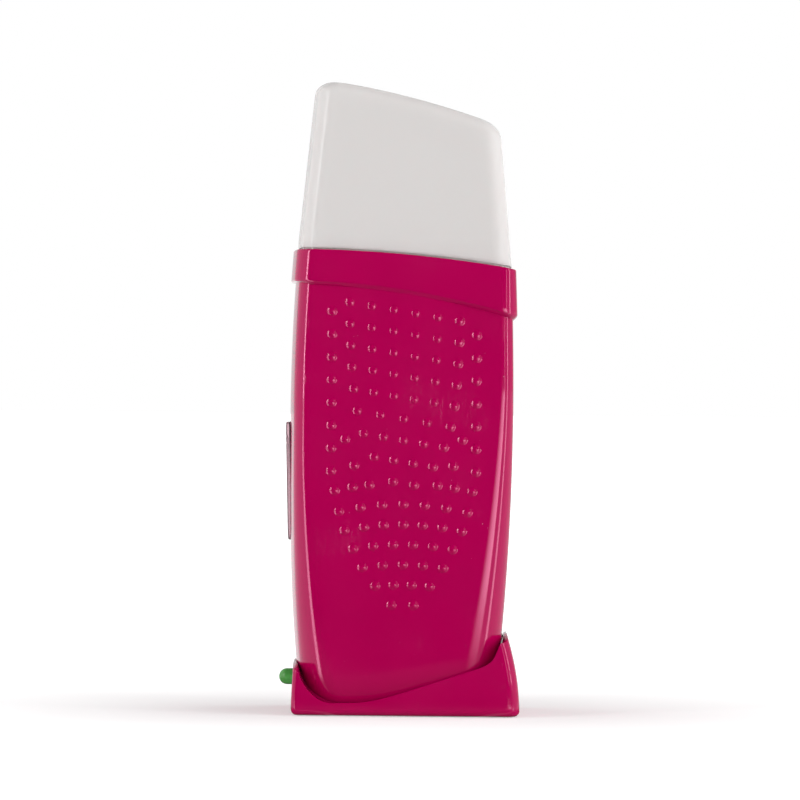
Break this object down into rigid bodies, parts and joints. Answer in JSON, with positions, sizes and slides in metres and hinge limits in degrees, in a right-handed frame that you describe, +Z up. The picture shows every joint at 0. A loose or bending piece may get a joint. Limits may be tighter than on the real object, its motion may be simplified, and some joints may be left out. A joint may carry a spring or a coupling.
{
  "type": "roll-on wax heater",
  "caption": "Handheld roll-on wax cartridge heater with lift-off translucent lid, standing in its plug-in dock with a pilot lamp and a mains inlet.",
  "frame": {"origin": "on the table, under the middle of the dock", "axes": "+Z up through the lid, -X toward the window and pilot lamp, +X toward the mains inlet, -Y toward the near grip face"},
  "size_m": [0.0743, 0.0534, 0.194],
  "materials": {
    "magenta_gloss": "polished injection moulding",
    "magenta_matte": "fine moulded texture",
    "lid_milky": "milky translucent, smooth",
    "window_clear": "clear moulded plastic",
    "lamp_green": "tinted clear epoxy",
    "foot_rubber": "matt",
    "gasket_dark": "matt silicone",
    "screw_steel": "zinc plated",
    "contact_brass": "plated",
    "sleeve_aluminium": "drawn, satin",
    "ceramic_cream": "matt",
    "pad_felt": "glass fibre felt",
    "carrier_dark": "fine texture",
    "lead_white": "silicone insulation",
    "board_green": "solder mask"
  },
  "bodies": {
    "dock": {"dock_housing": "magenta_gloss", "dock_plate": "magenta_matte", "foot_front_near": "foot_rubber", "foot_front_far": "foot_rubber", "foot_rear_near": "foot_rubber", "foot_rear_far": "foot_rubber", "dock_screw_front": "screw_steel", "dock_screw_rear": "screw_steel", "pilot_lamp": "lamp_green", "lamp_board": "board_green", "lamp_resistor": "ceramic_cream", "socket_near": "contact_brass", "socket_far": "contact_brass", "inlet_pin_near": "contact_brass", "inlet_pin_far": "contact_brass", "dock_lead_near": "lead_white", "dock_lead_far": "lead_white"},
    "handpiece": {"shell_near": "magenta_gloss", "shell_far": "magenta_gloss", "collar_ring": "magenta_gloss", "window_lens": "window_clear", "window_gasket": "gasket_dark", "cartridge_sleeve": "sleeve_aluminium", "mouth_gasket": "gasket_dark", "chamber_floor": "ceramic_cream", "heater_plate": "sleeve_aluminium", "insulation_pad": "pad_felt", "thermal_fuse": "ceramic_cream", "contact_carrier": "carrier_dark", "contact_pin_near": "contact_brass", "contact_pin_far": "contact_brass", "carrier_screw_front": "screw_steel", "carrier_screw_rear": "screw_steel", "heater_lead_a": "lead_white", "heater_lead_b": "lead_white", "fuse_lead": "lead_white"},
    "lid": {"lid": "lid_milky"}
  },
  "joints": [
    {"name": "handpiece_lift", "type": "slide", "parent": "dock", "child": "handpiece", "axis": [0, 0, 1], "range_m": [0, 0.06]},
    {"name": "lid_lift", "type": "slide", "parent": "handpiece", "child": "lid", "axis": [0, 0, 1], "range_m": [0, 0.07]}
  ]
}
